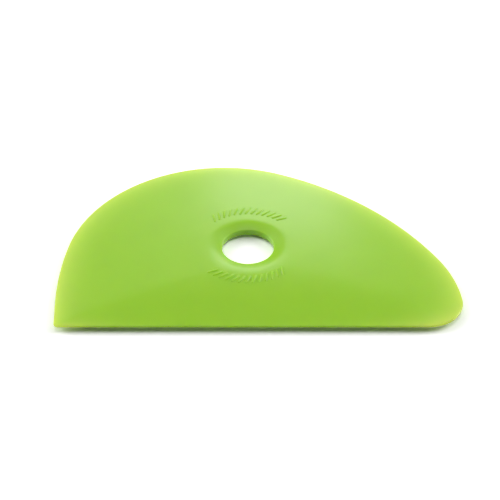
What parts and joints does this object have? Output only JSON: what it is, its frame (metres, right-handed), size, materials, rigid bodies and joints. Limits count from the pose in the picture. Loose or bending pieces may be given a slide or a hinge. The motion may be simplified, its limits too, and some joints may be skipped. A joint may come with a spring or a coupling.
{
  "type": "pottery rib",
  "caption": "Large flexible pottery rib with one straight edge, one long curved edge, thin rounded rims and a dished finger hole.",
  "frame": {"origin": "on the axis of the finger hole, at mid thickness", "axes": "+X along the straight working edge towards the rounded toe, +Y towards the curved working edge, +Z out of the upper face, away from the resting flat, along the finger hole's axis"},
  "size_m": [0.158, 0.098, 0.0052],
  "materials": {
    "soft_polymer": "satin, slightly translucent yellow-green cast polyurethane"
  },
  "bodies": {
    "root": {"rib_blade": "soft_polymer"}
  },
  "joints": []
}
